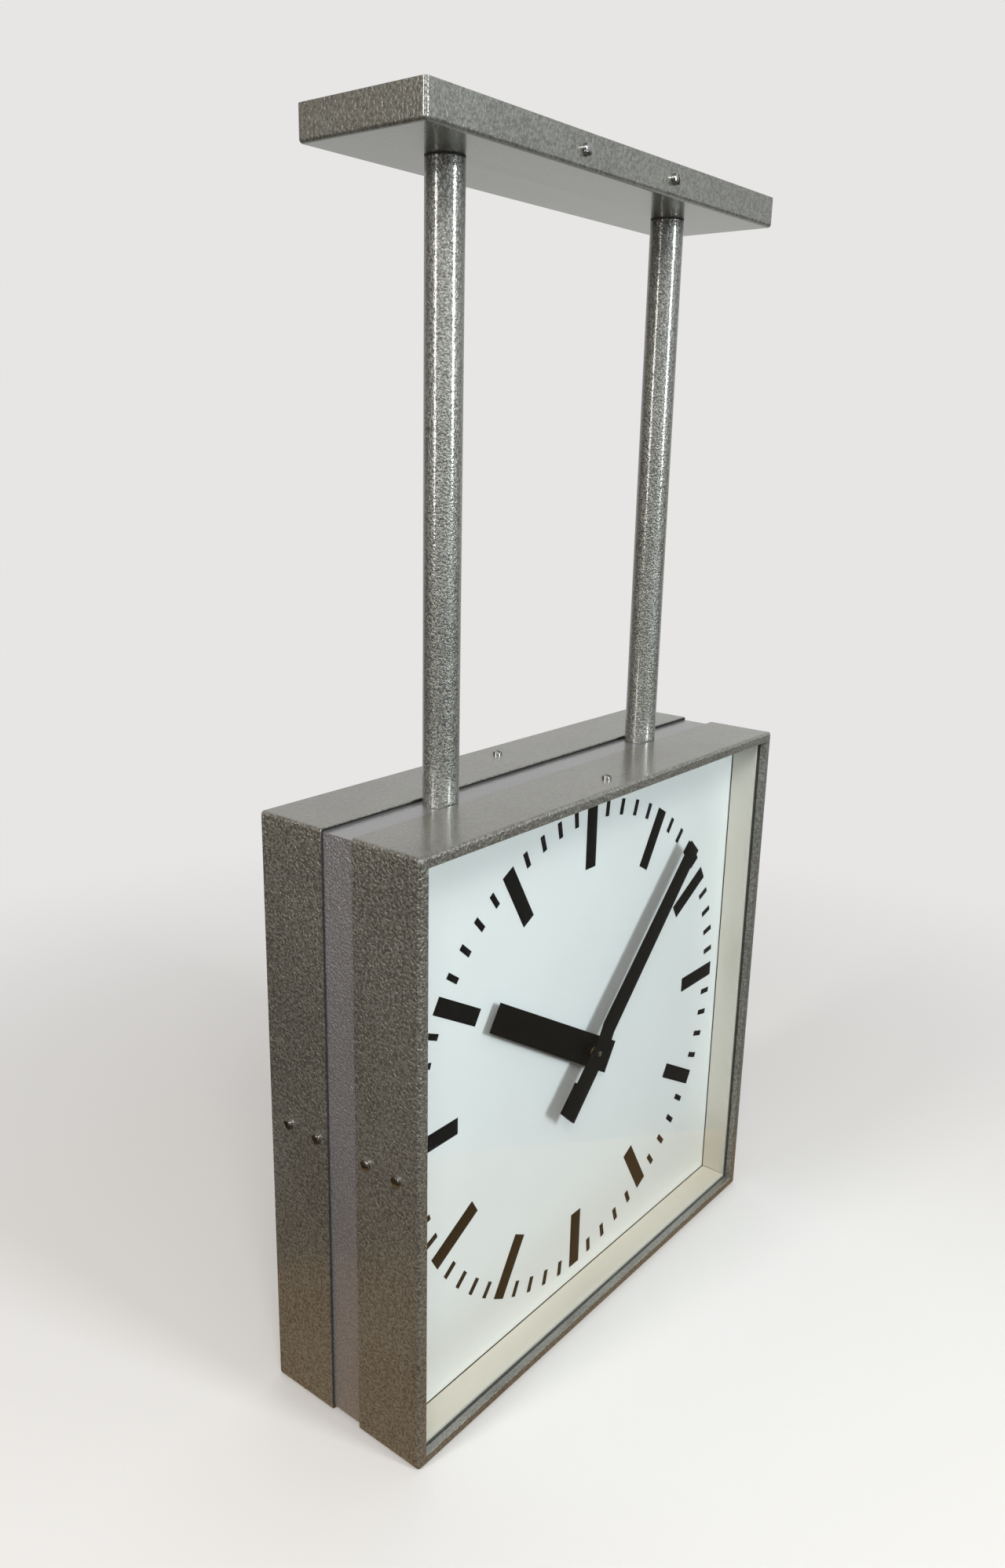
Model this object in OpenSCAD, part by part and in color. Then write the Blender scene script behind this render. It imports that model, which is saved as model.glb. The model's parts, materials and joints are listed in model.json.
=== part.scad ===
/* [Case] */
// Side of the square case
case_w = 500; // [480:5:540]
// Depth of the case from one bezel face to the other
case_d = 161; // [155:1:190]
// Depth of each sheet steel cover
cover_depth = 65; // [60:1:70]
// Sheet thickness of the covers and the carcass
sheet_t = 1.5; // [1.2:0.1:1.8]
// How far the middle band lies inside the covers
band_inset = 3; // [2.2:0.1:3.5]
// Bend radius of the cover edges
edge_r = 3; // [2:0.5:4]
// Width of the bezel around the window
bezel_w = 9; // [8:0.5:10]
// Distance from the bezel face back to the glass
glass_set = 6.3; // [5:0.1:7]

/* [Dial] */
// Distance from the bezel face back to the dial
dial_set = 36.5; // [35:0.5:38]
// Outer radius of the ring of marks
mark_r = 225; // [205:1:226]
// Length of an hour mark
hour_mark_l = 56.5; // [40:0.5:60]
// Width of an hour mark
hour_mark_w = 14.5; // [8:0.5:16]
// Length of a minute mark
minute_mark_l = 14.4; // [8:0.1:18]
// Width of a minute mark
minute_mark_w = 5.3; // [2:0.1:6]

/* [Hands] */
// Clockwise angle of the hour hand from twelve
hour_angle = 301.5; // [0:0.5:359.5]
// Clockwise angle of the minute hand from twelve
minute_angle = 44; // [0:1:359]
// Reach of the hour hand from its axis to its tip
hour_hand_l = 156; // [120:0.5:170]
// Reach of the minute hand from its axis to its tip
minute_hand_l = 215; // [180:1:220]
// Length of the counterweighted tail of the minute hand
minute_tail_l = 62.5; // [50:0.5:70]

/* [Suspension] */
// Free height between the case and the canopy
drop = 446; // [300:2:600]
// Distance between the axes of the two tubes
tube_gap = 280; // [260:5:300]
// Outer diameter of a tube
tube_d = 28; // [26:1:29]

/* [Canopy] */
// Length of the canopy
canopy_l = 440; // [420:5:480]
// Depth of the canopy from front to back
canopy_d = 112; // [108:1:130]
// Height of the canopy
canopy_h = 24; // [24:1:30]
// Distance between the two canopy screws on one long side
canopy_screw_gap = 116; // [100:2:130]

/* [Hidden] */
CASE_NODES = [
  "carcass", "tube_rail", "movement_bar", "bar_screws", "case_terminal_block", "coil_leads",
  "left_tube", "right_tube", "tube_seals", "tube_nuts", "tube_washers", "supply_lead",
  "canopy", "canopy_screws", "ceiling_plate", "tube_flanges", "flange_screws", "canopy_terminal_block"
];
FACE_NODES = [
  "cover", "cover_screws", "glass", "glass_seal", "liner", "dial", "dial_marks",
  "inner_plate", "outer_plate", "pillars", "movement_screws", "coil", "stator", "rotor",
  "intermediate_wheel", "minute_arbor", "motion_wheel", "hour_wheel",
  "hour_hand", "minute_hand", "hand_screw"
];
SIDES = ["front", "rear"];
$fn = 64;
eps = 0.01;

// Colours
hammer_grey = [0.42, 0.43, 0.41];
band_grey = [0.52, 0.52, 0.55];
cream = [0.80, 0.78, 0.72];
dial_white = [0.84, 0.87, 0.88];
print_black = [0.04, 0.04, 0.04];
zinc = [0.72, 0.72, 0.70];
steel = [0.55, 0.56, 0.58];
brass = [0.74, 0.60, 0.30];
copper = [0.66, 0.36, 0.20];
dark_plastic = [0.10, 0.10, 0.11];

// One face of the clock is drawn in its own frame: origin at the middle of the case,
// x to the viewer's right, y up, z out of the clock towards the viewer.
face_z = case_d / 2;
case_r = case_w / 2;
cover_in = case_r - sheet_t;
cover_rim_z = face_z - cover_depth;
window_r = case_r - bezel_w;

// Glass, seal and liner, from the bezel inwards
glass_t = 3;
glass_r = case_r - 4;
glass_z = face_z - glass_set - glass_t;
seal_t = 2;
seal_in = window_r + 1;
liner_top_z = glass_z - seal_t;
liner_t = 1.2;
liner_in = window_r - 1.5;
liner_flange_r = cover_in - 1.5;
dial_z = face_z - dial_set;
liner_low_z = dial_z + 1;
dial_t = 1.5;
dial_r = glass_r;
dial_hole_r = 7;
mark_t = 0.2;

// Carcass
band_r = case_r - band_inset;
band_in = band_r - sheet_t;
carcass_z = dial_z - dial_t;
carcass_flange_w = 14;

// Cover screws, M4 with a slotted, crowned head
m4_head_r = 4;
m4_head_h = 2.3;
m4_hole_r = 2.25;
m4_tap_r = 2.05;
m4_l = 9;
inner_screw_z = cover_rim_z + 11;
outer_screw_z = face_z - 22.5;
screw_drop = -2.5;
boss_r = 4;
boss_in = band_in - 5;
pad_l = 20;
pad_w = 12;
pad_out = cover_in - 0.5;

// Hands: stations along z of their front faces
hand_t = 1;
hour_hand_z = dial_z + 7.5;
minute_blade_z = dial_z + 15.8;
minute_hub_z = minute_blade_z + 2.2;
hour_tail_l = 39.5;
hour_tip_w = 25;
hour_tail_w = 30;
minute_tip_w = 18.5;
minute_tail_w = 24;
crank_start = 11;
crank_end = 25;
weight_t = 2.7;
weight_start = 33;
weight_side = 1.2;

// Arbors and pipes
arbor_r = 3;
running = 0.05;
pipe_r = 5;
hour_boss_r = 6;
hour_boss_z = hour_hand_z + 4.5;
pivot_r = 1;

// Movement plates
plate_half_w = 36;
plate_low = -95;
plate_high = 36;
plate_t = 2;
inner_plate_z = 8;
outer_plate_z = 29;
pillar_x = 31;
pillar_y = [-89, 30];
pillar_r = 3;
m3_r = 1.5;
m3_head_r = 2.75;
m3_head_h = 2;
m3_bore_r = 1.6;

// Gears: pressure angle, addendum and dedendum as parts of the module
pressure = 25;
addendum = 0.8;
dedendum = 1.05;
slack = 0.06;
train_m = 0.8;
fine_m = 0.6;
cannon_m = 1;
centre_teeth = 60;
inter_pinion_teeth = 12;
inter_teeth = 60;
rotor_teeth = 10;
cannon_teeth = 12;
motion_teeth = 36;
motion_pinion_teeth = 12;
hour_teeth = 48;
inter_y = -train_m * (centre_teeth + inter_pinion_teeth) / 2;
rotor_y = inter_y - fine_m * (inter_teeth + rotor_teeth) / 2;
motion_y = cannon_m * (cannon_teeth + motion_teeth) / 2;
inter_turn = mesh_turn(0, centre_teeth, inter_pinion_teeth, -90);
rotor_turn = mesh_turn(inter_turn, inter_teeth, rotor_teeth, -90);
motion_turn = mesh_turn(0, cannon_teeth, motion_teeth, 90);
hour_turn = mesh_turn(motion_turn, motion_pinion_teeth, hour_teeth, -90);

// Motor
magnet_r = 8;
magnet_z = 16.5;
magnet_t = 6;
air_gap = 0.7;
stator_z = 17.5;
stator_t = 4;
coil_y = -80;
coil_z = stator_z + stator_t / 2;
coil_l = 36;
coil_r = 8;
coil_flange_r = 8.7;
coil_bore_r = 4.2;

// Movement bar, an upright plate on the middle plane
bar_w = 80;
bar_t = 3;
bar_foot = 24;
m5_r = 2.4;
m5_tap_r = 2.5;
m5_hole_r = 2.75;
m5_head_r = 4.25;
m5_head_h = 3.3;
bar_screw_x = 26;

// Rail that carries the case on the tubes
rail_l = tube_gap + 70;
rail_w = 60;
rail_t = 3;
rail_h = 18;
case_floor = band_inset + sheet_t;
rail_top = case_w - case_floor;
tube_foot = case_w - band_inset;

// Tubes
tube_r = tube_d / 2;
tube_t = 2;
spigot_r = tube_r - 1;
spigot_l = 17.5;
washer_r = 21;
washer_t = 1.5;
nut_r = 18.5;
nut_t = 6;

// Ceiling fitting
canopy_z = case_w + drop;
tube_seal_t = 0.7;
tube_top = canopy_z - tube_seal_t;
top_z = canopy_z + canopy_h;
ceiling_plate_t = 5;
ceiling_plate_l = 400;
ceiling_plate_w = 90;
lug_w = 20;
lug_t = 3;
lug_h = 20;
canopy_screw_z = canopy_z + 12.5;
flange_r = 36;
flange_t = 4;
collar_r = 18;
flange_z = top_z - ceiling_plate_t - flange_t;
collar_h = flange_z - canopy_z - sheet_t - 1.5;
flange_screw_r = 28;
anchor_x = 200;
anchor_y = 60;
anchor_r = 4.5;
entry_r = 10;

// Leads and the terminal blocks that they end in
lead_r = 3;
coil_lead_r = 1;
block_w = 44;
block_h = 14;
block_t = 12;
case_block_z = 372;
canopy_block_x = -50;
// Height of the supply lead in the canopy, and of the hole where it enters the left tube
lead_z = top_z - 14.5;
lead_hole_r = 4.5;
tube_x = tube_gap / 2;
// The supply lead, from the canopy block down the left tube to the case block
supply_route = [
  [canopy_block_x - block_w / 2, 0, lead_z], [-90, 0, lead_z], [-110, 0, lead_z],
  [16 - tube_x, 0, lead_z], [7 - tube_x, 0, lead_z - 2.5], [1.5 - tube_x, 0, lead_z - 9],
  [-tube_x, 0, lead_z - 20], [-tube_x, 0, lead_z - 60], [-tube_x, 0, case_w + 200],
  [-tube_x, 0, case_w + 20], [-tube_x, 0, case_w - 25], [2 - tube_x, -1, case_w - 42],
  [14 - tube_x, -4, case_w - 68], [42 - tube_x, -7, case_w - 96], [-66, -8, case_block_z + 14],
  [-44, -8, case_block_z + 7], [-32, -8, case_block_z + 7], [-block_w / 2, -8, case_block_z + 7]
];
// The wires' places along x, for the front coil and for the rear coil
coil_lead_x = [[-12, -4], [12, 4]];
wire_hole_r = 7;
wire_hole_z = case_block_z - 27;
front_lead_start = [
  [0, -7.5, case_block_z], [0, -7.5, case_block_z - 4], [0, -7.5, case_block_z - 8],
  [0, -6, case_block_z - 16], [0, -4.6, wire_hole_z]
];
rear_lead_start = [
  [0, -7.5, case_block_z], [0, -7.5, case_block_z - 4], [0, -7.5, case_block_z - 8],
  [0, -7, case_block_z - 15], [0, -4, wire_hole_z + 3],
  [0, 0, wire_hole_z], [0, 3.5, wire_hole_z - 5]
];
// Shared run behind a movement, as distance from the middle plane and height
coil_lead_run = [
  [4.6, 320], [4.6, 240], [4.6, 165], [6, 153], [11.5, 147], [17, 150], [19.5, 157], [19.5, 161.8]
];

// ---- Helpers ----

// Stands a face's frame upright on the front or on the rear of the case
module facing(side) {
  translate([0, 0, case_r])
    rotate([90, 0, side == "front" ? 0 : 180])
      children();
}

// Square frame between two half widths, from height low to height high
module square_frame(outer, inner, low, high) {
  translate([0, 0, low])
    linear_extrude(high - low)
      difference() {
        square(2 * outer, center = true);
        square(2 * inner, center = true);
      }
}

// Box from its lowest to its highest corner
module block(low, high) {
  translate(low) cube(high - low);
}

// Slotted screw with a crowned head: the head's seat is at z = 0, the shank below it
module slotted_screw(head_r, head_h, shank_r, length, turn) {
  slot_w = head_r * 0.28;
  crown_h = head_r * 0.2;
  crown_r = (head_r * head_r + crown_h * crown_h) / (2 * crown_h);
  difference() {
    union() {
      intersection() {
        cylinder(r = head_r, h = head_h + crown_h);
        translate([0, 0, head_h + crown_h - crown_r]) sphere(r = crown_r);
      }
      translate([0, 0, -length]) cylinder(r = shank_r, h = length + eps);
    }
    rotate([0, 0, turn])
      translate([-head_r - 1, -slot_w / 2, head_h * 0.5])
        cube([2 * head_r + 2, slot_w, head_h]);
  }
}

// Involute of an angle, in degrees
function involute(a) = tan(a) * 180 / PI - a;

// Turn of the second gear's tooth so that it meshes with the first along direction phi
function mesh_turn(turn, teeth_1, teeth_2, phi) =
  phi + 180 + 180 / teeth_2 - (turn - phi) * teeth_1 / teeth_2;

// Half angle of a tooth at radius r
function tooth_half(teeth, m, r) =
  let (pitch_r = teeth * m / 2, base_r = pitch_r * cos(pressure))
  90 / teeth - slack * m / pitch_r * 180 / PI
    + involute(pressure) - involute(acos(min(1, base_r / r)));

// Radii at which a tooth flank gets a point, from root to tip
function flank_radii(teeth, m) =
  let (pitch_r = teeth * m / 2, base_r = pitch_r * cos(pressure), root_r = pitch_r - dedendum * m)
  root_r < base_r - 0.02
    ? [root_r, base_r, pitch_r, pitch_r + addendum * m]
    : [root_r, pitch_r, pitch_r + addendum * m];

function polar(r, a) = [r * cos(a), r * sin(a)];

module gear_2d(teeth, m) {
  radii = flank_radii(teeth, m);
  last = len(radii) - 1;
  polygon([
    for (i = [0 : teeth - 1])
      for (j = [0 : 2 * last + 1])
        let (k = j <= last ? j : 2 * last + 1 - j, side = j <= last ? -1 : 1)
        polar(radii[k], i * 360 / teeth + side * tooth_half(teeth, m, radii[k]))
  ]);
}

module gear(teeth, m, low, high, turn) {
  translate([0, 0, low])
    rotate([0, 0, turn])
      linear_extrude(high - low) gear_2d(teeth, m);
}

// Wheel with crossings: a toothed rim, a hub and spokes
module crossed_gear(teeth, m, low, high, turn, hub_r, spokes) {
  rim_r = teeth * m / 2 - 3.2 * m;
  translate([0, 0, low])
    rotate([0, 0, turn])
      linear_extrude(high - low) {
        difference() {
          gear_2d(teeth, m);
          circle(r = rim_r);
        }
        circle(r = hub_r);
        for (i = [0 : spokes - 1])
          rotate([0, 0, i * 360 / spokes])
            translate([0, -hub_r * 0.35])
              square([rim_r + 0.5, hub_r * 0.7]);
      }
}

module shaft(r, low, high) {
  translate([0, 0, low]) cylinder(r = r, h = high - low);
}

// Tube swept along a route whose steps never run along the given direction
function unit(v) = v / norm(v);
function step_at(p, i) = unit(p[min(i + 1, len(p) - 1)] - p[max(i - 1, 0)]);
module swept(route, r, sides, across) {
  count = len(route);
  points = [
    for (i = [0 : count - 1])
      let (t = step_at(route, i), u = unit(cross(t, across)), v = cross(t, u))
      for (j = [0 : sides - 1])
        route[i] + r * (cos(j * 360 / sides) * u + sin(j * 360 / sides) * v)
  ];
  walls = [
    for (i = [0 : count - 2])
      for (j = [0 : sides - 1])
        let (k = (j + 1) % sides)
        [i * sides + j, i * sides + k, (i + 1) * sides + k, (i + 1) * sides + j]
  ];
  first = [for (j = [0 : sides - 1]) sides - 1 - j];
  last = [for (j = [0 : sides - 1]) (count - 1) * sides + j];
  polyhedron(points, concat(walls, [first], [last]), convexity = 6);
}

// Points of a smooth curve through the route's own points
function smooth(p, steps) = [
  for (i = [0 : len(p) - 2])
    let (a = p[max(i - 1, 0)], b = p[i], c = p[i + 1], d = p[min(i + 2, len(p) - 1)])
    for (s = [0 : steps - 1])
      let (t = s / steps)
      0.5 * (2 * b + (c - a) * t + (2 * a - 5 * b + 4 * c - d) * t * t
        + (3 * b - a - 3 * c + d) * t * t * t),
  p[len(p) - 1]
];

// ---- Case ----

// Bosses that take the inner cover screws, on both side walls of one face
module carcass_bosses(grow, low, high) {
  for (side = [-1, 1])
    translate([side * low, screw_drop, inner_screw_z])
      rotate([0, side * 90, 0])
        cylinder(r = grow, h = high - low);
}

module carcass() {
  color(band_grey)
    difference() {
      union() {
        facing("front") square_frame(band_r, band_in, -carcass_z, carcass_z);
        for (side = SIDES)
          facing(side) {
            square_frame(band_in + eps, band_in - carcass_flange_w, carcass_z - sheet_t, carcass_z);
            carcass_bosses(boss_r, boss_in, band_in + eps);
          }
      }
      for (side = SIDES)
        facing(side) carcass_bosses(m4_tap_r, boss_in - 1, band_r + 1);
      for (side = [-1, 1]) {
        translate([side * tube_gap / 2, 0, rail_top - 1]) cylinder(r = spigot_r + 0.1, h = 10);
        translate([side * bar_screw_x, bar_foot / 2, 0]) cylinder(r = m5_tap_r, h = 10);
      }
    }
}

module cover() {
  color(hammer_grey)
    difference() {
      union() {
        difference() {
          cover_skin();
          block([-cover_in, -cover_in, cover_rim_z - 1], [cover_in, cover_in, face_z - sheet_t]);
          block([-window_r, -window_r, face_z - 10], [window_r, window_r, face_z + 1]);
        }
        square_frame(window_r + sheet_t, window_r, face_z - glass_set, face_z - sheet_t / 2);
      }
      bezel_flare(1.1, 0.45);
      bezel_flare(0.45, 1.1);
      cover_screw_holes();
    }
}

// Outside of a cover: rounded along its corners and its front edges
module cover_skin() {
  hull()
    for (x = [-1, 1], y = [-1, 1])
      translate([x * (case_r - edge_r), y * (case_r - edge_r), 0]) {
        translate([0, 0, cover_rim_z]) cylinder(r = edge_r, h = 1, $fn = 32);
        translate([0, 0, face_z - edge_r]) sphere(r = edge_r, $fn = 32);
      }
}

// Sloping cut that breaks the window's edge
module bezel_flare(wide, deep) {
  hull() {
    block([-window_r - wide, -window_r - wide, face_z], [window_r + wide, window_r + wide, face_z + 1]);
    block([-window_r, -window_r, face_z - deep], [window_r, window_r, face_z - deep + eps]);
  }
}

module cover_screw_holes() {
  for (side = [-1, 1], z = [inner_screw_z, outer_screw_z])
    translate([side * (cover_in - 1), screw_drop, z])
      rotate([0, side * 90, 0])
        cylinder(r = m4_hole_r, h = sheet_t + 2);
  translate([0, cover_in - 1, outer_screw_z])
    rotate([-90, 0, 0])
      cylinder(r = m4_hole_r, h = sheet_t + 2);
}

module cover_screws() {
  color(zinc) {
    for (side = [-1, 1], i = [0, 1])
      translate([side * case_r, screw_drop, [inner_screw_z, outer_screw_z][i]])
        rotate([0, side * 90, 0])
          slotted_screw(m4_head_r, m4_head_h, m4_tap_r - 0.05, m4_l, 25 + 55 * i + 20 * side);
    translate([0, case_r, outer_screw_z])
      rotate([-90, 0, 0])
        slotted_screw(m4_head_r, m4_head_h, m4_tap_r - 0.05, m4_l, 70);
  }
}

module glass() {
  color([0.85, 0.92, 0.92, 0.3])
    block([-glass_r, -glass_r, glass_z], [glass_r, glass_r, glass_z + glass_t]);
}

module glass_seal() {
  color(dark_plastic) square_frame(glass_r, seal_in, liner_top_z, glass_z);
}

module liner() {
  pads = [[-90, 1], [90, 1], [0, 0]];
  color(cream)
    difference() {
      union() {
        square_frame(liner_in + liner_t, liner_in, liner_low_z, liner_top_z);
        square_frame(liner_flange_r - 1, liner_in, liner_low_z, liner_low_z + liner_t);
        square_frame(liner_flange_r, liner_in, liner_top_z - liner_t, liner_top_z);
        for (pad = pads)
          liner_pad(pad[0], pad[1] * screw_drop)
            block([-pad_l / 2, liner_in + liner_t / 2, -pad_w / 2], [pad_l / 2, pad_out, pad_w / 2]);
      }
      for (pad = pads)
        liner_pad(pad[0], pad[1] * screw_drop)
          translate([0, liner_in + liner_t, 0])
            rotate([-90, 0, 0])
              cylinder(r = m4_tap_r, h = 20);
    }
}

// Place of a screw pad: turn 0 is the top wall, 90 and -90 are the side walls
module liner_pad(turn, drop_by) {
  translate([0, drop_by, outer_screw_z]) rotate([0, 0, turn]) children();
}

module dial() {
  color(dial_white)
    difference() {
      block([-dial_r, -dial_r, dial_z - dial_t], [dial_r, dial_r, dial_z]);
      shaft(dial_hole_r, dial_z - dial_t - 1, dial_z + 1);
    }
}

module dial_marks() {
  color(print_black)
    for (i = [0 : 59])
      let (hour = i % 5 == 0, w = hour ? hour_mark_w : minute_mark_w, l = hour ? hour_mark_l : minute_mark_l)
      rotate([0, 0, -6 * i])
        block([-w / 2, mark_r - l, dial_z], [w / 2, mark_r, dial_z + mark_t]);
}

// ---- Movement ----

module plate_2d() {
  difference() {
    translate([-plate_half_w, plate_low]) square([2 * plate_half_w, plate_high - plate_low]);
    for (x = [-1, 1], y = pillar_y)
      translate([x * pillar_x, y]) circle(r = m3_bore_r);
    for (y = [inter_y, rotor_y])
      translate([0, y]) circle(r = pivot_r + running);
  }
}

// Plate nearest the dial, with the stud that the motion wheel turns on
module outer_plate() {
  color(brass) {
    translate([0, 0, outer_plate_z])
      linear_extrude(plate_t)
        difference() {
          plate_2d();
          circle(r = arbor_r + running);
        }
    translate([0, motion_y, 0]) shaft(1.5, outer_plate_z + plate_t, outer_plate_z + 10.5);
  }
}

// Plate nearest the middle of the case
module inner_plate() {
  color(brass)
    translate([0, 0, inner_plate_z])
      linear_extrude(plate_t)
        difference() {
          plate_2d();
          circle(r = pivot_r + running);
        }
}

module pillars() {
  gaps = [[bar_t / 2, inner_plate_z], [inner_plate_z + plate_t, outer_plate_z]];
  color(brass)
    for (x = [-1, 1], y = pillar_y, gap = gaps)
      translate([x * pillar_x, y, gap[0]])
        linear_extrude(gap[1] - gap[0])
          difference() {
            circle(r = pillar_r);
            circle(r = m3_bore_r);
          }
}

module movement_screws() {
  color(steel)
    for (x = [-1, 1], i = [0, 1])
      translate([x * pillar_x, pillar_y[i], outer_plate_z + plate_t])
        slotted_screw(m3_head_r, m3_head_h, m3_r, outer_plate_z + plate_t - 0.2, 40 + 35 * i + 15 * x);
}

// Bobbin and winding, both around the stator's long bar
module coil() {
  translate([0, coil_y, coil_z])
    rotate([0, 90, 0])
      translate([0, 0, -coil_l / 2]) {
        color(dark_plastic)
          rotate_extrude()
            polygon([
              [coil_bore_r, 0], [coil_flange_r, 0], [coil_flange_r, 1.5], [coil_bore_r + 1, 1.5],
              [coil_bore_r + 1, coil_l - 1.5], [coil_flange_r, coil_l - 1.5],
              [coil_flange_r, coil_l], [coil_bore_r, coil_l]
            ]);
        color(copper)
          translate([0, 0, 1.6])
            rotate_extrude()
              translate([coil_bore_r + 1.1, 0]) square([coil_r - coil_bore_r - 1.1, coil_l - 3.2]);
      }
}

// U-shaped stator: a bar through the coil, two legs and two pole shoes around the rotor
module stator() {
  leg_in = coil_l / 2 + 2;
  leg_out = leg_in + 6;
  shoe_half_h = 11.2;
  color(steel)
    translate([0, 0, stator_z])
      linear_extrude(stator_t)
        difference() {
          union() {
            translate([-leg_out, coil_y - 3]) square([2 * leg_out, 6]);
            for (side = [0, 1])
              mirror([side, 0]) {
                translate([leg_in, coil_y - 3]) square([6, rotor_y - coil_y + 3 + shoe_half_h]);
                translate([3, rotor_y - shoe_half_h]) square([leg_in - 3 + 1, 2 * shoe_half_h]);
              }
          }
          translate([0, rotor_y]) circle(r = magnet_r + air_gap);
        }
}

module rotor() {
  translate([0, rotor_y, 0]) {
    color(steel) {
      shaft(pivot_r, inner_plate_z, outer_plate_z + plate_t);
      shaft(2, inner_plate_z + plate_t + 0.3, magnet_z + magnet_t + 0.5);
    }
    color(dark_plastic)
      shaft(magnet_r, magnet_z, magnet_z + magnet_t);
    color(brass)
      gear(rotor_teeth, fine_m, magnet_z + magnet_t + 0.4, outer_plate_z - 0.8, rotor_turn);
  }
}

module intermediate_wheel() {
  translate([0, inter_y, 0]) {
    color(steel) {
      shaft(pivot_r, inner_plate_z, outer_plate_z + plate_t);
      shaft(2.2, inner_plate_z + plate_t + 0.3, outer_plate_z - 0.3);
    }
    color(brass) {
      gear(inter_pinion_teeth, train_m, 12, 18, inter_turn);
      crossed_gear(inter_teeth, fine_m, 24.5, 26.5, inter_turn, 5, 4);
    }
  }
}

// Arbor that carries the minute hand, with the centre wheel and the cannon pinion
module minute_arbor() {
  color(steel)
    difference() {
      union() {
        shaft(pivot_r, inner_plate_z, inner_plate_z + plate_t + 1);
        shaft(arbor_r, inner_plate_z + plate_t + 0.3, minute_hub_z - hand_t);
      }
      shaft(1.25, minute_hub_z - hand_t - 8, minute_hub_z);
    }
  color(brass) {
    crossed_gear(centre_teeth, train_m, 13, 16, 0, 7, 4);
    shaft(6, 12, 18);
    gear(cannon_teeth, cannon_m, outer_plate_z + plate_t + 0.8, outer_plate_z + plate_t + 4.5, 0);
  }
}

module motion_wheel() {
  low = outer_plate_z + plate_t + 1.6;
  color(brass)
    translate([0, motion_y, 0])
      difference() {
        union() {
          crossed_gear(motion_teeth, cannon_m, low, low + 2, motion_turn, 6, 4);
          gear(motion_pinion_teeth, train_m, low + 1, low + 6.2, motion_turn);
        }
        shaft(1.5 + running, low - 1, low + 8);
      }
}

// Hour wheel on its long pipe, which turns freely on the minute arbor
module hour_wheel() {
  low = outer_plate_z + plate_t + 5.4;
  color(brass)
    difference() {
      union() {
        crossed_gear(hour_teeth, train_m, low, low + 2, hour_turn, 8, 4);
        shaft(pipe_r, low, hour_boss_z);
      }
      shaft(arbor_r + running, low - 1, hour_boss_z + 1);
    }
}

module hour_hand() {
  color(print_black)
    rotate([0, 0, -hour_angle])
      difference() {
        union() {
          translate([0, 0, hour_hand_z - hand_t])
            linear_extrude(hand_t)
              polygon([
                [-hour_tail_w / 2, -hour_tail_l], [hour_tail_w / 2, -hour_tail_l],
                [hour_tip_w / 2, hour_hand_l], [-hour_tip_w / 2, hour_hand_l]
              ]);
          shaft(hour_boss_r, hour_hand_z - 5, hour_boss_z);
        }
        shaft(pipe_r + 0.02, hour_hand_z - 6, hour_boss_z + 1);
      }
}

// Cranked blade: its outline seen from the front, cut by its profile seen from the side
module minute_hand() {
  color(print_black)
    rotate([0, 0, -minute_angle])
      difference() {
        union() {
          intersection() {
            translate([0, 0, minute_blade_z - 5])
              linear_extrude(12)
                polygon([
                  [-minute_tail_w / 2, -minute_tail_l], [minute_tail_w / 2, -minute_tail_l],
                  [minute_tip_w / 2, minute_hand_l], [-minute_tip_w / 2, minute_hand_l]
                ]);
            rotate([90, 0, 90])
              translate([0, 0, -minute_tail_w])
                linear_extrude(2 * minute_tail_w)
                  polygon([
                    [-minute_tail_l - 1, minute_hub_z - hand_t], [crank_start, minute_hub_z - hand_t],
                    [crank_end, minute_blade_z - hand_t], [minute_hand_l + 1, minute_blade_z - hand_t],
                    [minute_hand_l + 1, minute_blade_z], [crank_end, minute_blade_z],
                    [crank_start, minute_hub_z], [-minute_tail_l - 1, minute_hub_z]
                  ]);
          }
          block(
            [-minute_tail_w / 2 + weight_side, -minute_tail_l, minute_hub_z - hand_t - weight_t],
            [minute_tail_w / 2 - weight_side, -weight_start, minute_hub_z - hand_t + eps]
          );
        }
        shaft(1.25, minute_hub_z - 5, minute_hub_z + 5);
      }
}

module hand_screw() {
  color(zinc)
    rotate([0, 0, -minute_angle])
      translate([0, 0, minute_hub_z])
        slotted_screw(2.3, 0.7, 1.2, hand_t + 7, 20);
}

// ---- Inside frame ----

module tube_rail() {
  color(steel)
    difference() {
      union() {
        block([-rail_l / 2, -rail_w / 2, rail_top - rail_t], [rail_l / 2, rail_w / 2, rail_top]);
        for (side = [0, 1])
          mirror([0, side, 0])
            block([-rail_l / 2, rail_w / 2 - rail_t, rail_top - rail_h], [rail_l / 2, rail_w / 2, rail_top]);
      }
      for (side = [-1, 1]) {
        translate([side * tube_gap / 2, 0, rail_top - rail_t - 1]) cylinder(r = spigot_r + 0.1, h = 10);
        translate([side * bar_screw_x, bar_foot / 2, rail_top - rail_t - 1]) cylinder(r = m5_tap_r, h = 10);
      }
    }
}

module movement_bar() {
  top = rail_top - rail_t;
  color(steel)
    difference() {
      union() {
        block([-bar_w / 2, -bar_t / 2, case_floor], [bar_w / 2, bar_t / 2, top]);
        for (z = [case_floor, top - bar_t])
          block([-bar_w / 2, 0, z], [bar_w / 2, bar_foot, z + bar_t]);
      }
      for (x = [-1, 1], y = pillar_y)
        translate([x * pillar_x, 0, case_r + y])
          rotate([90, 0, 0])
            cylinder(r = m3_bore_r, h = 10, center = true);
      translate([0, 0, wire_hole_z])
        rotate([90, 0, 0])
          cylinder(r = wire_hole_r, h = 10, center = true);
      for (x = [-1, 1], z = [case_floor, top - bar_t])
        translate([x * bar_screw_x, bar_foot / 2, z - 1]) cylinder(r = m5_hole_r, h = bar_t + 2);
    }
}

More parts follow.
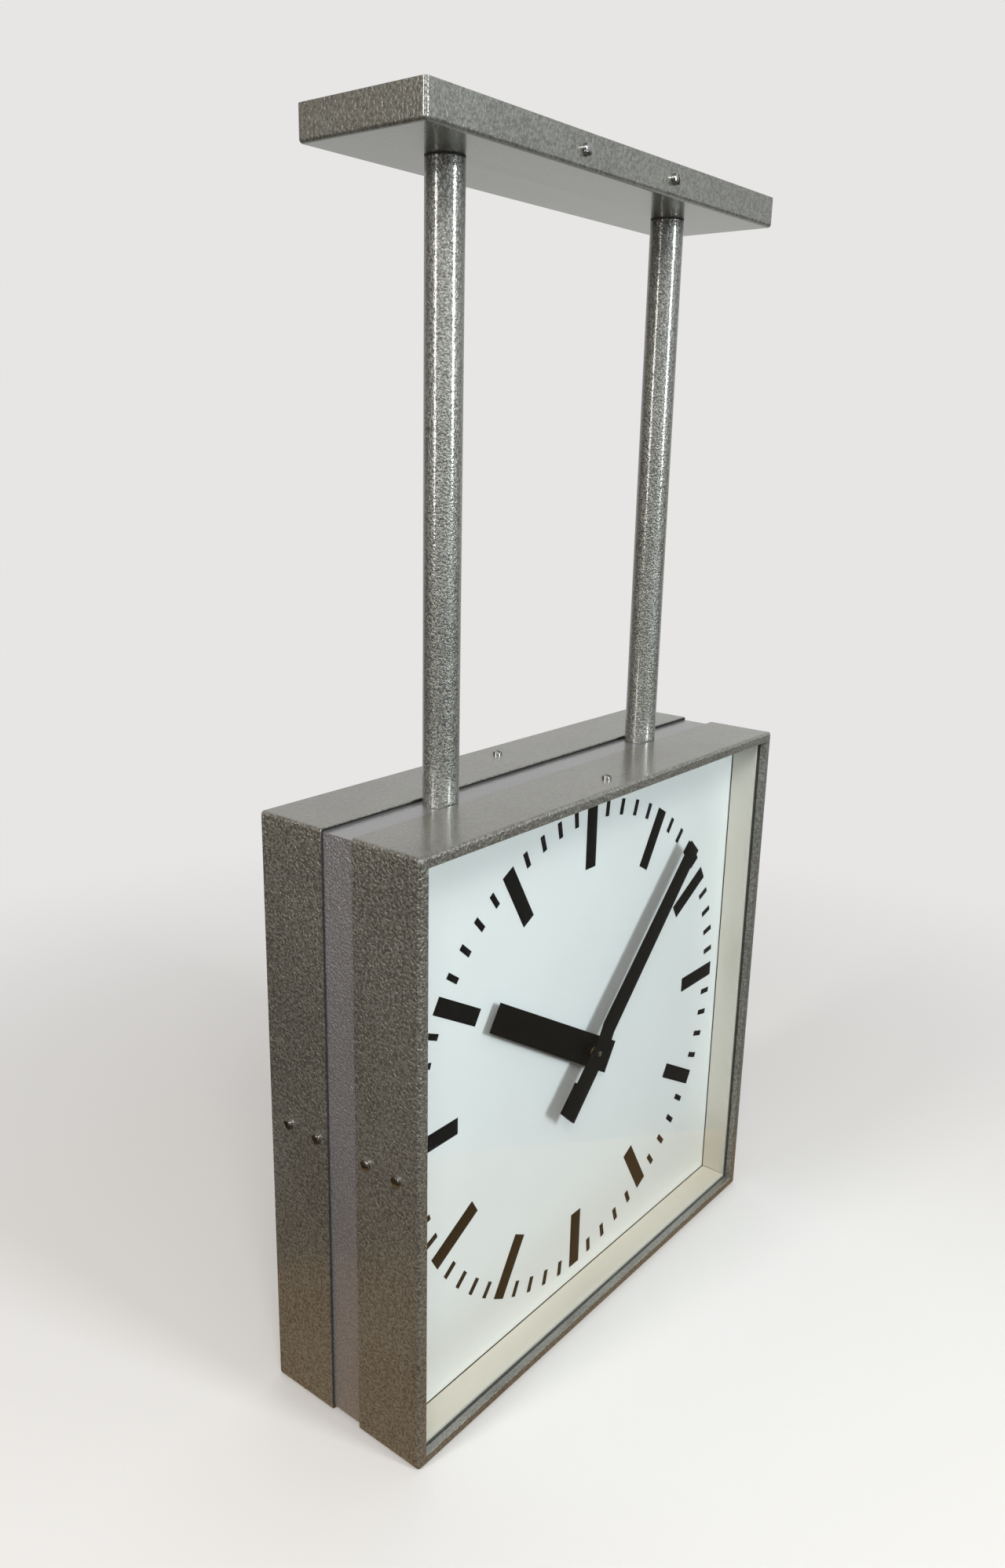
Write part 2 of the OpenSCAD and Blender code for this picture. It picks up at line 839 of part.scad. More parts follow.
module bar_screws() {
  top = rail_top - rail_t;
  color(steel)
    for (x = [-1, 1]) {
      translate([x * bar_screw_x, bar_foot / 2, case_floor + bar_t])
        slotted_screw(m5_head_r, m5_head_h, m5_r, bar_t + sheet_t - 0.1, 15 + 30 * x);
      translate([x * bar_screw_x, bar_foot / 2, top - bar_t])
        rotate([180, 0, 0])
          slotted_screw(m5_head_r, m5_head_h, m5_r, bar_t + rail_t - 0.1, 60 + 25 * x);
    }
}

// Terminal block: an insulating body with a row of clamp screws
module terminal_block() {
  difference() {
    color(dark_plastic)
      block([-block_w / 2, -block_t, 0], [block_w / 2, 0, block_h]);
    for (i = [-1.5 : 1 : 1.5])
      translate([i * 10, -block_t - 1, block_h / 2])
        rotate([-90, 0, 0])
          cylinder(r = 2.6, h = 4, $fn = 32);
  }
  color(zinc)
    for (i = [-1.5 : 1 : 1.5])
      translate([i * 10, -block_t + 2.9, block_h / 2])
        rotate([90, 0, 0])
          slotted_screw(2.4, 2, 1, 1, 30 * i);
}

module case_terminal_block() {
  translate([0, -bar_t / 2, case_block_z]) terminal_block();
}

module canopy_terminal_block() {
  translate([canopy_block_x, block_h / 2, top_z - ceiling_plate_t])
    rotate([90, 0, 0])
      terminal_block();
}

module supply_lead() {
  color(dark_plastic) swept(smooth(supply_route, 4), lead_r, 8, [0, 1, 0]);
}

// Two wires to each coil; those of the rear one first pass through the bar
module coil_leads() {
  color(copper)
    for (x = coil_lead_x, side = [0, 1]) {
      start = side == 0 ? front_lead_start : rear_lead_start;
      run = [for (p = coil_lead_run) [0, side == 0 ? -p[0] : p[0], p[1]]];
      route = [for (p = concat(start, run)) p + [x[side], 0, 0]];
      swept(smooth(route, 3), coil_lead_r, 8, [1, 0, 0]);
    }
}

// ---- Suspension ----

module tube(x) {
  color(hammer_grey)
    translate([x, 0, 0])
      difference() {
        union() {
          translate([0, 0, tube_foot]) cylinder(r = tube_r, h = tube_top - tube_foot);
          translate([0, 0, tube_foot - spigot_l])
            cylinder(r = spigot_r, h = flange_z - 0.5 - tube_foot + spigot_l);
        }
        translate([0, 0, tube_foot - spigot_l - 1]) cylinder(r = tube_r - tube_t, h = drop + 100);
        lead_hole();
      }
}

// Hole towards +x through which a lead enters a tube
module lead_hole() {
  translate([0, 0, lead_z])
    rotate([0, 90, 0])
      cylinder(r = lead_hole_r, h = collar_r + 5);
}

module left_tube() {
  tube(-tube_gap / 2);
}

module right_tube() {
  tube(tube_gap / 2);
}

// Rings in the joint between each tube's upper shoulder and the canopy
module tube_seals() {
  color(dark_plastic)
    for (side = [-1, 1])
      translate([side * tube_gap / 2, 0, tube_top])
        linear_extrude(tube_seal_t)
          difference() {
            circle(r = tube_r - 0.1);
            circle(r = spigot_r + 0.1);
          }
}

module tube_washers() {
  color(zinc)
    for (side = [-1, 1])
      translate([side * tube_gap / 2, 0, rail_top - rail_t - washer_t])
        linear_extrude(washer_t)
          difference() {
            circle(r = washer_r);
            circle(r = spigot_r + 0.2);
          }
}

module tube_nuts() {
  color(zinc)
    for (side = [-1, 1])
      translate([side * tube_gap / 2, 0, rail_top - rail_t - washer_t - nut_t])
        difference() {
          cylinder(r = nut_r, h = nut_t, $fn = 6);
          translate([0, 0, -1]) cylinder(r = spigot_r + 0.02, h = nut_t + 2);
        }
}

module tube_flanges() {
  color(steel)
    for (side = [-1, 1])
      translate([side * tube_gap / 2, 0, 0])
        difference() {
          union() {
            translate([0, 0, flange_z]) cylinder(r = flange_r, h = flange_t);
            translate([0, 0, flange_z - collar_h]) cylinder(r = collar_r, h = collar_h + 1);
          }
          translate([0, 0, flange_z - collar_h - 1]) cylinder(r = spigot_r + 0.02, h = collar_h + 1);
          translate([0, 0, flange_z - 1]) cylinder(r = tube_r - tube_t, h = flange_t + 2);
          flange_screw_spots() cylinder(r = m5_hole_r, h = 30, center = true);
          lead_hole();
        }
}

module flange_screw_spots() {
  for (i = [0 : 2])
    rotate([0, 0, 60 + 120 * i])
      translate([flange_screw_r, 0, flange_z]) children();
}

module flange_screws() {
  color(zinc)
    for (side = [-1, 1])
      translate([side * tube_gap / 2, 0, 0])
        flange_screw_spots()
          rotate([180, 0, 0])
            slotted_screw(m5_head_r, m5_head_h, m5_r, flange_t + ceiling_plate_t - 0.2, 35);
}

module ceiling_plate() {
  lug_out = canopy_d / 2 - sheet_t - 0.5;
  lug_in = ceiling_plate_w / 2 - 1;
  lug_low = top_z - lug_h + 1;
  plate_low_z = top_z - ceiling_plate_t;
  color(steel)
    difference() {
      union() {
        block([-ceiling_plate_l / 2, -ceiling_plate_w / 2, plate_low_z],
          [ceiling_plate_l / 2, ceiling_plate_w / 2, top_z]);
        for (x = [-1, 1], side = [0, 1])
          mirror([0, side, 0])
            translate([x * canopy_screw_gap / 2, 0, 0]) {
              block([-lug_w / 2, lug_in, plate_low_z], [lug_w / 2, lug_out, plate_low_z + lug_t]);
              block([-lug_w / 2, lug_out - lug_t, lug_low], [lug_w / 2, lug_out, plate_low_z + lug_t]);
            }
      }
      for (x = [-1, 1])
        translate([x * canopy_screw_gap / 2, 0, canopy_screw_z])
          rotate([90, 0, 0])
            cylinder(r = m5_tap_r, h = canopy_d, center = true);
      for (x = [-1, 1], y = [-1, 1])
        translate([x * anchor_x / 2, y * anchor_y / 2, plate_low_z - 1]) cylinder(r = anchor_r, h = 10);
      translate([0, 0, plate_low_z - 1]) cylinder(r = entry_r, h = 10);
      for (side = [-1, 1])
        translate([side * tube_gap / 2, 0, 0]) flange_screw_spots() cylinder(r = m5_tap_r, h = 20);
    }
}

module canopy() {
  inner_x = canopy_l / 2 - sheet_t;
  inner_y = canopy_d / 2 - sheet_t;
  color(hammer_grey)
    difference() {
      hull()
        for (x = [-1, 1], y = [-1, 1])
          translate([x * (canopy_l / 2 - edge_r), y * (canopy_d / 2 - edge_r), 0]) {
            translate([0, 0, canopy_z + edge_r]) sphere(r = edge_r, $fn = 32);
            translate([0, 0, top_z - 1]) cylinder(r = edge_r, h = 1, $fn = 32);
          }
      block([-inner_x, -inner_y, canopy_z + sheet_t], [inner_x, inner_y, top_z + 1]);
      for (side = [-1, 1]) {
        translate([side * tube_gap / 2, 0, canopy_z - 1]) cylinder(r = spigot_r + 0.4, h = 10);
        translate([side * canopy_screw_gap / 2, 0, canopy_screw_z])
          rotate([90, 0, 0])
            cylinder(r = m5_hole_r, h = canopy_d + 10, center = true);
      }
    }
}

module canopy_screws() {
  color(zinc)
    for (x = [-1, 1], y = [-1, 1])
      translate([x * canopy_screw_gap / 2, y * canopy_d / 2, canopy_screw_z])
        rotate([-90 * y, 0, 0])
          slotted_screw(m5_head_r, m5_head_h, m5_r, 9, 60 + 40 * x);
}

// ---- Drawing ----

carcass();
tube_rail();
movement_bar();
bar_screws();
case_terminal_block();
coil_leads();
left_tube();
right_tube();
tube_seals();
tube_nuts();
tube_washers();
supply_lead();
canopy();
canopy_screws();
ceiling_plate();
tube_flanges();
flange_screws();
canopy_terminal_block();

for (side = SIDES)
  facing(side) {
    cover();
    cover_screws();
    glass();
    glass_seal();
    liner();
    dial();
    dial_marks();
    inner_plate();
    outer_plate();
    pillars();
    movement_screws();
    coil();
    stator();
    rotor();
    intermediate_wheel();
    minute_arbor();
    motion_wheel();
    hour_wheel();
    hour_hand();
    minute_hand();
    hand_screw();
  }
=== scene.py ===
"""Looks of the two-sided clock on its ceiling canopy: pieces, materials, studio and camera."""
import json
import math
import random

import bmesh
import bpy
from mathutils import Matrix, Vector

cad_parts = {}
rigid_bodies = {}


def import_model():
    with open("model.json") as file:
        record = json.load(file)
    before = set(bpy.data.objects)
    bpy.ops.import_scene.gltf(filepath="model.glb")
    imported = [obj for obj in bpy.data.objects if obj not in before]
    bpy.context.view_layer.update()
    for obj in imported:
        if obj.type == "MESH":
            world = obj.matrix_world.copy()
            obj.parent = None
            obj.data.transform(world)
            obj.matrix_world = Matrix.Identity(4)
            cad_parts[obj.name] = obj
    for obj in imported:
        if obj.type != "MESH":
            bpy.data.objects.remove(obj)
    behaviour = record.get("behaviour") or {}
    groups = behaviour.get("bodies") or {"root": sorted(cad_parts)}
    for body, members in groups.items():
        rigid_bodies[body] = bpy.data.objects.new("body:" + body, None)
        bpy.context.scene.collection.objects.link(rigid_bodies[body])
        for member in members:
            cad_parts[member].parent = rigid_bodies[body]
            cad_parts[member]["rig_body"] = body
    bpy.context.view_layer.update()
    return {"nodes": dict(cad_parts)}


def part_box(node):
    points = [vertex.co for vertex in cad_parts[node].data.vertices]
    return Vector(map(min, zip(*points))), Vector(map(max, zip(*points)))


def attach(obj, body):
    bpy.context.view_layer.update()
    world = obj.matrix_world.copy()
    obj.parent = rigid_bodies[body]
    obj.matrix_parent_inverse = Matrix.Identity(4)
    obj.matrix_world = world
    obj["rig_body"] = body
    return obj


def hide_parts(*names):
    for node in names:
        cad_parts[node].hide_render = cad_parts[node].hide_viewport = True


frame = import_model()
NODES = frame["nodes"]
MM = 0.001
SIDES = ("front", "rear")


def placed(name, data):
    """A new object in the scene."""
    made = bpy.data.objects.new(name, data)
    bpy.context.scene.collection.objects.link(made)
    return made


# ---- Camera ----

# Close by, to the left of the front face, at a height between case and canopy
CAMERA_PLACE = (-0.8016, -0.5894, 0.7660)
CAMERA_AZIMUTH = math.radians(-51.35)
CAMERA_ELEVATION = math.radians(15.9)
CAMERA_ROLL = math.radians(1.24)
CAMERA_LENS = 27.71


def make_camera():
    data = bpy.data.cameras.new("camera")
    data.lens = CAMERA_LENS
    data.sensor_width = 36
    data.sensor_fit = "AUTO"
    data.clip_start = 0.01
    camera = placed("camera", data)
    a, e = CAMERA_AZIMUTH, CAMERA_ELEVATION
    back = Vector((math.sin(a) * math.cos(e), -math.cos(a) * math.cos(e), math.sin(e)))
    right = (-back).cross(Vector((0, 0, 1))).normalized()
    up = right.cross(-back)
    c, s = math.cos(CAMERA_ROLL), math.sin(CAMERA_ROLL)
    turned = Matrix((c * right + s * up, c * up - s * right, back)).transposed()
    camera.matrix_world = Matrix.Translation(CAMERA_PLACE) @ turned.to_4x4()
    bpy.context.scene.camera = camera


make_camera()

# ---- Node trees ----


def feed(tree, socket, value):
    """Links another node's output to a socket, or sets the socket to a number or a colour."""
    if isinstance(value, bpy.types.NodeSocket):
        tree.links.new(value, socket)
    else:
        socket.default_value = value


def add(tree, kind, inputs=None, **settings):
    """A new node with its inputs fed and its settings made."""
    node = tree.nodes.new(kind)
    for name, value in settings.items():
        setattr(node, name, value)
    for name, value in (inputs or {}).items():
        feed(tree, node.inputs[name], value)
    return node


def material(name):
    """(material, node tree, Principled shader) with the shader linked to the output."""
    made = bpy.data.materials.new("look_" + name)
    made.use_nodes = True
    tree = made.node_tree
    tree.nodes.clear()
    shader = add(tree, "ShaderNodeBsdfPrincipled")
    add(tree, "ShaderNodeOutputMaterial", {"Surface": shader.outputs[0]})
    return made, tree, shader


def set_surface(tree, closure):
    """Puts another shader on the material's output."""
    output = next(n for n in tree.nodes if n.type == "OUTPUT_MATERIAL")
    tree.links.new(closure, output.inputs["Surface"])


def put(tree, shader, **values):
    """Feeds inputs of the Principled shader, named with _ for a space."""
    for name, value in values.items():
        feed(tree, shader.inputs[name.replace("_", " ")], value)


def place_of(tree):
    return add(tree, "ShaderNodeTexCoord").outputs["Object"]


def math_node(tree, operation, a, b=0.0, c=0.0):
    return add(tree, "ShaderNodeMath", {0: a, 1: b, 2: c}, operation=operation).outputs[0]


def vector_node(tree, operation, inputs):
    return add(tree, "ShaderNodeVectorMath", inputs, operation=operation).outputs


def axis_of(tree, vector, axis):
    return add(tree, "ShaderNodeSeparateXYZ", {0: vector}).outputs[axis]


def remap(tree, value, low, high, to_low=0.0, to_high=1.0):
    inputs = {"Value": value, "From Min": low, "From Max": high, "To Min": to_low, "To Max": to_high}
    return add(tree, "ShaderNodeMapRange", inputs, interpolation_type="SMOOTHSTEP").outputs["Result"]


def noise(tree, place, scale, detail=2.0, roughness=0.5):
    """Value of a noise from 0 to 1, with its features 1 / scale metres apart."""
    inputs = {"Vector": place, "Scale": scale, "Detail": detail, "Roughness": roughness}
    return add(tree, "ShaderNodeTexNoise", inputs).outputs["Fac"]


def stretched(tree, place, factors):
    return vector_node(tree, "MULTIPLY", {0: place, 1: factors})[0]


def warped(tree, place, scale, amount):
    """The place pushed about by a noise of this scale."""
    cloud = add(tree, "ShaderNodeTexNoise", {"Vector": place, "Scale": scale}).outputs["Color"]
    centred = vector_node(tree, "SUBTRACT", {0: cloud, 1: (0.5, 0.5, 0.5)})[0]
    push = vector_node(tree, "SCALE", {0: centred, "Scale": amount})[0]
    return vector_node(tree, "ADD", {0: place, 1: push})[0]


def blend(tree, share, first, second):
    """The first colour where share is 0, the second where it is 1."""
    node = add(tree, "ShaderNodeMix", {0: share, 6: first, 7: second}, data_type="RGBA")
    return node.outputs[2]


def bump(tree, height, distance, strength=1.0):
    inputs = {"Height": height, "Distance": distance, "Strength": strength}
    return add(tree, "ShaderNodeBump", inputs).outputs[0]


def rgb(red, green, blue):
    return (red, green, blue, 1.0)


# ---- Materials ----

# Heights between which the painted shade low in the case thins out
LOW_SHADE_FULL = 12 * MM
LOW_SHADE_END = 120 * MM
# How far the inner face of the liner lies inside the case
LINER_INSET = 10.5 * MM


def hammered(name, dark, light, flake, cell, depth, roughness):
    """Hammer-finish enamel: worm-like wrinkles about a cell apart, with aluminium flakes that glint in it.
    It has flowed out flatter on level faces than on upright ones. Its colour follows the wrinkles' height,
    darker in the dents and lighter on the crests: partly the paint's own mottle, partly painted shade and
    painted highlight."""
    made, tree, shader = material(name)
    place = place_of(tree)
    normal = add(tree, "ShaderNodeTexCoord").outputs["Normal"]
    level = math_node(tree, "ABSOLUTE", axis_of(tree, normal, "Z"))
    relief = remap(tree, level, 0.75, 0.99, 1.0, 0.35)
    moved = warped(tree, place, 0.8 / cell, 0.9 * cell)
    worms = noise(tree, moved, 1.7 / cell)
    grain = noise(tree, place, 8.0 / cell, roughness=0.6)
    height = math_node(tree, "MULTIPLY_ADD", grain, 0.12, worms)
    patches = remap(tree, noise(tree, place, 9.0, 3.0, 0.55), 0.3, 0.7, -0.12, 0.12)
    # Painted shade in the dents and painted highlight on the crests, mixed with the paint's own mottle
    dent_shade_swing = math_node(tree, "SUBTRACT", remap(tree, height, 0.36, 0.76), 0.5)
    tone_and_dent_shade = math_node(tree, "ADD", math_node(tree, "MULTIPLY_ADD", dent_shade_swing, relief, 0.5), patches)
    glint = remap(tree, noise(tree, moved, 4.0 / cell, roughness=0.7), 0.60, 0.78, 0.0, 0.6)
    colour = blend(tree, tone_and_dent_shade, dark, light)
    colour = blend(tree, math_node(tree, "MULTIPLY", glint, relief), colour, flake)
    put(tree, shader, Base_Color=colour, Normal=bump(tree, height, depth, relief), Metallic=0.6)
    put(tree, shader, Roughness=remap(tree, grain, 0.3, 0.7, roughness, roughness + 0.10))
    put(tree, shader, Coat_Weight=1.0, Coat_Roughness=0.04, Coat_IOR=1.55)
    put(tree, shader, Coat_Normal=bump(tree, worms, depth * 0.15))
    return made


def enamel(name, base, stain, low_shade_colour, low_shade_share, roughness, peel, coat):
    """Smooth stoved enamel with a faint orange peel, age stains and specks, and painted shade that darkens it
    towards the bottom of the case.
    """
    made, tree, shader = material(name)
    place = place_of(tree)
    age = remap(tree, noise(tree, place, 7.0, 4.0, 0.6), 0.42, 0.78, 0.0, 0.6)
    specks = remap(tree, noise(tree, place, 420.0), 0.70, 0.78, 0.0, 0.35)
    colour = blend(tree, age, base, stain)
    colour = blend(tree, specks, colour, rgb(stain[0] * 0.7, stain[1] * 0.7, stain[2] * 0.7))
    # Painted shade: the colour darkens towards the bottom of the case
    low_shade_mask = remap(tree, axis_of(tree, place, "Z"), LOW_SHADE_FULL, LOW_SHADE_END, low_shade_share, 0.0)
    colour = blend(tree, low_shade_mask, colour, low_shade_colour)
    put(tree, shader, Base_Color=colour, Normal=bump(tree, noise(tree, place, 260.0), peel))
    put(tree, shader, Roughness=remap(tree, age, 0.0, 0.6, roughness, roughness + 0.08))
    put(tree, shader, Coat_Weight=coat, Coat_Roughness=0.12)
    return made


def painted_shade_border(made, inner_half, middle):
    """Adds a painted shadow line to the enamel: a near-black band in the corner where the sheet runs in under
    the liner and lies in shade.
    """
    tree = made.node_tree
    shader = next(n for n in tree.nodes if n.type == "BSDF_PRINCIPLED")
    enamel_colour = shader.inputs["Base Color"].links[0].from_socket
    offset = vector_node(tree, "SUBTRACT", {0: place_of(tree), 1: middle})[0]
    away = vector_node(tree, "ABSOLUTE", {0: offset})[0]
    reach = math_node(tree, "MAXIMUM", axis_of(tree, away, "X"), axis_of(tree, away, "Z"))
    # Painted shadow: near-black where the liner shades the dial's edge
    corner_shadow = remap(tree, reach, inner_half - 0.4 * MM, inner_half - 0.2 * MM)
    put(tree, shader, Base_Color=blend(tree, corner_shadow, enamel_colour, rgb(0.03, 0.03, 0.028)))


def satin_black(name, base, worn, roughness, grain_scale, wear):
    """Black lacquer or ink with a fine grain and a little wear in long thin scratches."""
    made, tree, shader = material(name)
    place = place_of(tree)
    skin = noise(tree, place, grain_scale, 3.0, 0.6)
    scratches = noise(tree, stretched(tree, place, (1.0, 1.0, 0.12)), 900.0, roughness=0.6)
    colour = blend(tree, remap(tree, scratches, 0.66, 0.74, 0.0, wear), base, worn)
    colour = blend(tree, remap(tree, skin, 0.35, 0.7, 0.0, 0.3), colour, worn)
    put(tree, shader, Base_Color=colour, Normal=bump(tree, skin, 0.05 * MM), Specular_IOR_Level=0.04)
    put(tree, shader, Roughness=remap(tree, skin, 0.3, 0.7, roughness - 0.05, roughness + 0.08))
    return made


def metal(name, base, tarnish, roughness, stretch, grain_depth):
    """Bare or plated metal with fine working marks along one direction and tarnish in patches."""
    made, tree, shader = material(name)
    place = place_of(tree)
    marks = noise(tree, stretched(tree, place, stretch), 1500.0, 3.0, 0.6)
    cloud = noise(tree, place, 130.0, 4.0, 0.6)
    colour = blend(tree, remap(tree, cloud, 0.42, 0.75, 0.0, 0.8), base, tarnish)
    put(tree, shader, Base_Color=colour, Metallic=1.0, Normal=bump(tree, marks, grain_depth))
    put(tree, shader, Roughness=remap(tree, cloud, 0.3, 0.75, roughness, roughness + 0.14))
    return made


def plastic(name, base, light, roughness):
    """Moulded or extruded plastic with a soft mottle and a fine moulded skin."""
    made, tree, shader = material(name)
    place = place_of(tree)
    cloud = noise(tree, place, 160.0, 4.0, 0.6)
    put(tree, shader, Base_Color=blend(tree, remap(tree, cloud, 0.35, 0.75), base, light))
    put(tree, shader, Normal=bump(tree, noise(tree, place, 1400.0), 0.04 * MM))
    put(tree, shader, Roughness=remap(tree, cloud, 0.3, 0.7, roughness, roughness + 0.1))
    return made


def pane_glass():
    """Clear float glass with a trace of green and a slight ripple. Lamps shine straight through it."""
    made, tree, shader = material("glass")
    put(tree, shader, Base_Color=rgb(0.975, 0.99, 0.985), Roughness=0.0, IOR=1.5, Transmission_Weight=1.0)
    put(tree, shader, Normal=bump(tree, noise(tree, place_of(tree), 14.0, 1.0), 0.04 * MM))
    clear = add(tree, "ShaderNodeBsdfTransparent", {"Color": rgb(0.95, 0.97, 0.965)})
    path = add(tree, "ShaderNodeLightPath")
    through = math_node(tree, "MAXIMUM", path.outputs["Is Shadow Ray"], path.outputs["Is Diffuse Ray"])
    mix = add(tree, "ShaderNodeMixShader", {0: through, 1: shader.outputs[0], 2: clear.outputs[0]})
    set_surface(tree, mix.outputs[0])
    return made


def black_rubber():
    """Dull black sealing strip with open pores."""
    made, tree, shader = material("seal")
    pores = add(tree, "ShaderNodeTexVoronoi", {"Vector": place_of(tree), "Scale": 1400.0}).outputs["Distance"]
    colour = blend(tree, remap(tree, pores, 0.2, 0.6), rgb(0.012, 0.012, 0.012), rgb(0.05, 0.05, 0.048))
    put(tree, shader, Base_Color=colour, Roughness=0.85, Normal=bump(tree, pores, 0.2 * MM))
    return made


LOOKS = {
    "hammer_paint": hammered(
        "hammer_paint", rgb(0.110, 0.103, 0.089), rgb(0.284, 0.284, 0.250), rgb(0.48, 0.50, 0.46),
        cell=3.8 * MM, depth=1.1 * MM, roughness=0.28),
    "canopy_paint": hammered(
        "canopy_paint", rgb(0.128, 0.128, 0.115), rgb(0.232, 0.240, 0.215), rgb(0.34, 0.355, 0.325),
        cell=4.2 * MM, depth=0.6 * MM, roughness=0.30),
    "tube_paint": hammered(
        "tube_paint", rgb(0.088, 0.088, 0.080), rgb(0.265, 0.275, 0.252), rgb(0.48, 0.50, 0.47),
        cell=2.8 * MM, depth=0.85 * MM, roughness=0.30),
    "band_paint": hammered(
        "band_paint", rgb(0.232, 0.228, 0.238), rgb(0.345, 0.338, 0.350), rgb(0.43, 0.42, 0.44),
        cell=3.2 * MM, depth=0.9 * MM, roughness=0.32),
    # In the two enamels below, the third colour is painted shade that darkens them towards the bottom of the
    # case
    "cream_paint": enamel(
        "cream_paint", rgb(0.78, 0.75, 0.68), rgb(0.70, 0.66, 0.56), rgb(0.50, 0.465, 0.40),
        low_shade_share=0.62, roughness=0.34, peel=0.06 * MM, coat=0.25),
    "dial_paint": enamel(
        "dial_paint", rgb(0.80, 0.835, 0.85), rgb(0.75, 0.78, 0.78), rgb(0.58, 0.565, 0.52),
        low_shade_share=0.45, roughness=0.3, peel=0.03 * MM, coat=0.3),
    "mark_print": satin_black(
        "mark_print", rgb(0.002, 0.002, 0.002), rgb(0.006, 0.006, 0.006),
        roughness=0.6, grain_scale=1800.0, wear=0.2),
    "hand_paint": satin_black(
        "hand_paint", rgb(0.002, 0.002, 0.0018), rgb(0.007, 0.0065, 0.006),
        roughness=0.45, grain_scale=700.0, wear=0.5),
    "glass": pane_glass(),
    "seal": black_rubber(),
    "zinc": metal(
        "zinc", rgb(0.44, 0.44, 0.43), rgb(0.22, 0.21, 0.19),
        roughness=0.14, stretch=(1.0, 1.0, 0.1), grain_depth=0.02 * MM),
    "steel": metal(
        "steel", rgb(0.42, 0.42, 0.43), rgb(0.25, 0.23, 0.21),
        roughness=0.3, stretch=(1.0, 1.0, 0.05), grain_depth=0.04 * MM),
    "brass": metal(
        "brass", rgb(0.60, 0.46, 0.24), rgb(0.30, 0.22, 0.12),
        roughness=0.26, stretch=(0.05, 1.0, 1.0), grain_depth=0.03 * MM),
    "coil_wire": metal(
        "coil_wire", rgb(0.62, 0.22, 0.09), rgb(0.38, 0.13, 0.06),
        roughness=0.25, stretch=(1.0, 0.2, 0.2), grain_depth=0.02 * MM),
    "wire_lacquer": plastic("wire_lacquer", rgb(0.30, 0.11, 0.03), rgb(0.42, 0.17, 0.05), 0.3),
    "lead_sheath": plastic("lead_sheath", rgb(0.02, 0.02, 0.021), rgb(0.05, 0.05, 0.05), 0.42),
    "block_plastic": plastic("block_plastic", rgb(0.03, 0.024, 0.02), rgb(0.07, 0.055, 0.04), 0.38),
}

case_low, case_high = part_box("front_cover")
# Painted shadow line round the dial's edge, along the liner
painted_shade_border(LOOKS["dial_paint"], case_high.x - LINER_INSET, (case_low + case_high) / 2)

# The record's material slot of each node
SLOTS = {entry.name: entry.data.materials[0].name.split(".")[0] for entry in NODES.values()}


def dress(mesh, look):
    mesh.materials.clear()
    mesh.materials.append(LOOKS[look])


for node, slot in SLOTS.items():
    dress(NODES[node].data, slot)

# ---- Mesh tools ----

WELD = 0.002 * MM


def finish_piece(name, mesh, node, look, sharp=38.0):
    """Makes the mesh a smooth-shaded piece that stands for a CAD node and rides on its body."""
    dress(mesh, look)
    mesh.polygons.foreach_set("use_smooth", [True] * len(mesh.polygons))
    mesh.set_sharp_from_angle(angle=math.radians(sharp))
    piece = placed(name, mesh)
    modifier = piece.modifiers.new("even_normals", "WEIGHTED_NORMAL")
    modifier.keep_sharp = True
    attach(piece, NODES[node]["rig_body"])
    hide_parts(node)
    return piece


def mesh_from(bm, name):
    bmesh.ops.recalc_face_normals(bm, faces=bm.faces)
    mesh = bpy.data.meshes.new(name)
    bm.to_mesh(mesh)
    bm.free()
    return mesh


def welded(mesh):
    """A bmesh of the mesh with its doubled vertices joined."""
    bm = bmesh.new()
    bm.from_mesh(mesh)
    bmesh.ops.remove_doubles(bm, verts=bm.verts, dist=WELD)
    return bm


def cut(mesh, cutters):
    """The mesh with the cutters' volume taken away. Each cutter is a bmesh."""
    body = placed("cut_body", mesh)
    joined = bmesh.new()
    for cutter in cutters:
        part = bpy.data.meshes.new("cut_part")
        cutter.to_mesh(part)
        cutter.free()
        joined.from_mesh(part)
        bpy.data.meshes.remove(part)
    tool = placed("cut_tool", mesh_from(joined, "cut_tool"))
    modifier = body.modifiers.new("cut", "BOOLEAN")
    modifier.operation = "DIFFERENCE"
    modifier.solver = "EXACT"
    modifier.object = tool
    bpy.context.view_layer.update()
    graph = bpy.context.evaluated_depsgraph_get()
    result = bpy.data.meshes.new_from_object(body.evaluated_get(graph))
    result.name = mesh.name
    bpy.data.objects.remove(body)
    bpy.data.objects.remove(tool)
    return result


def drill(centre, along, radius, length, sides=40):
    """Round cutter about a centre, lying along a direction."""
    bm = bmesh.new()
    bmesh.ops.create_cone(bm, cap_ends=True, segments=sides, radius1=radius, radius2=radius, depth=length)
    turn = Vector((0, 0, 1)).rotation_difference(Vector(along)).to_matrix().to_4x4()
    bm.transform(Matrix.Translation(centre) @ turn)
    return bm


def plank(size, matrix):
    """Box cutter of a size, placed by a matrix."""
    bm = bmesh.new()
    bmesh.ops.create_cube(bm, size=1.0)
    bm.transform(matrix @ Matrix.Diagonal((*size, 1.0)))
    return bm


def refined(node, look, width, name, cutters=()):
    """A piece with the node's own shape, its sharp edges rounded over by a real bevel."""
    bm = welded(NODES[node].data)
    bmesh.ops.dissolve_limit(bm, angle_limit=math.radians(0.4), verts=bm.verts, edges=bm.edges)
    if cutters:
        bm = welded(cut(mesh_from(bm, node), cutters))
    edges = [e for e in bm.edges if e.is_manifold and e.calc_face_angle(0.0) > math.radians(30)]
    bmesh.ops.bevel(bm, geom=edges, offset=width, segments=2, profile=0.6, affect="EDGES", clamp_overlap=True)
    return finish_piece(name, mesh_from(bm, name), node, look)


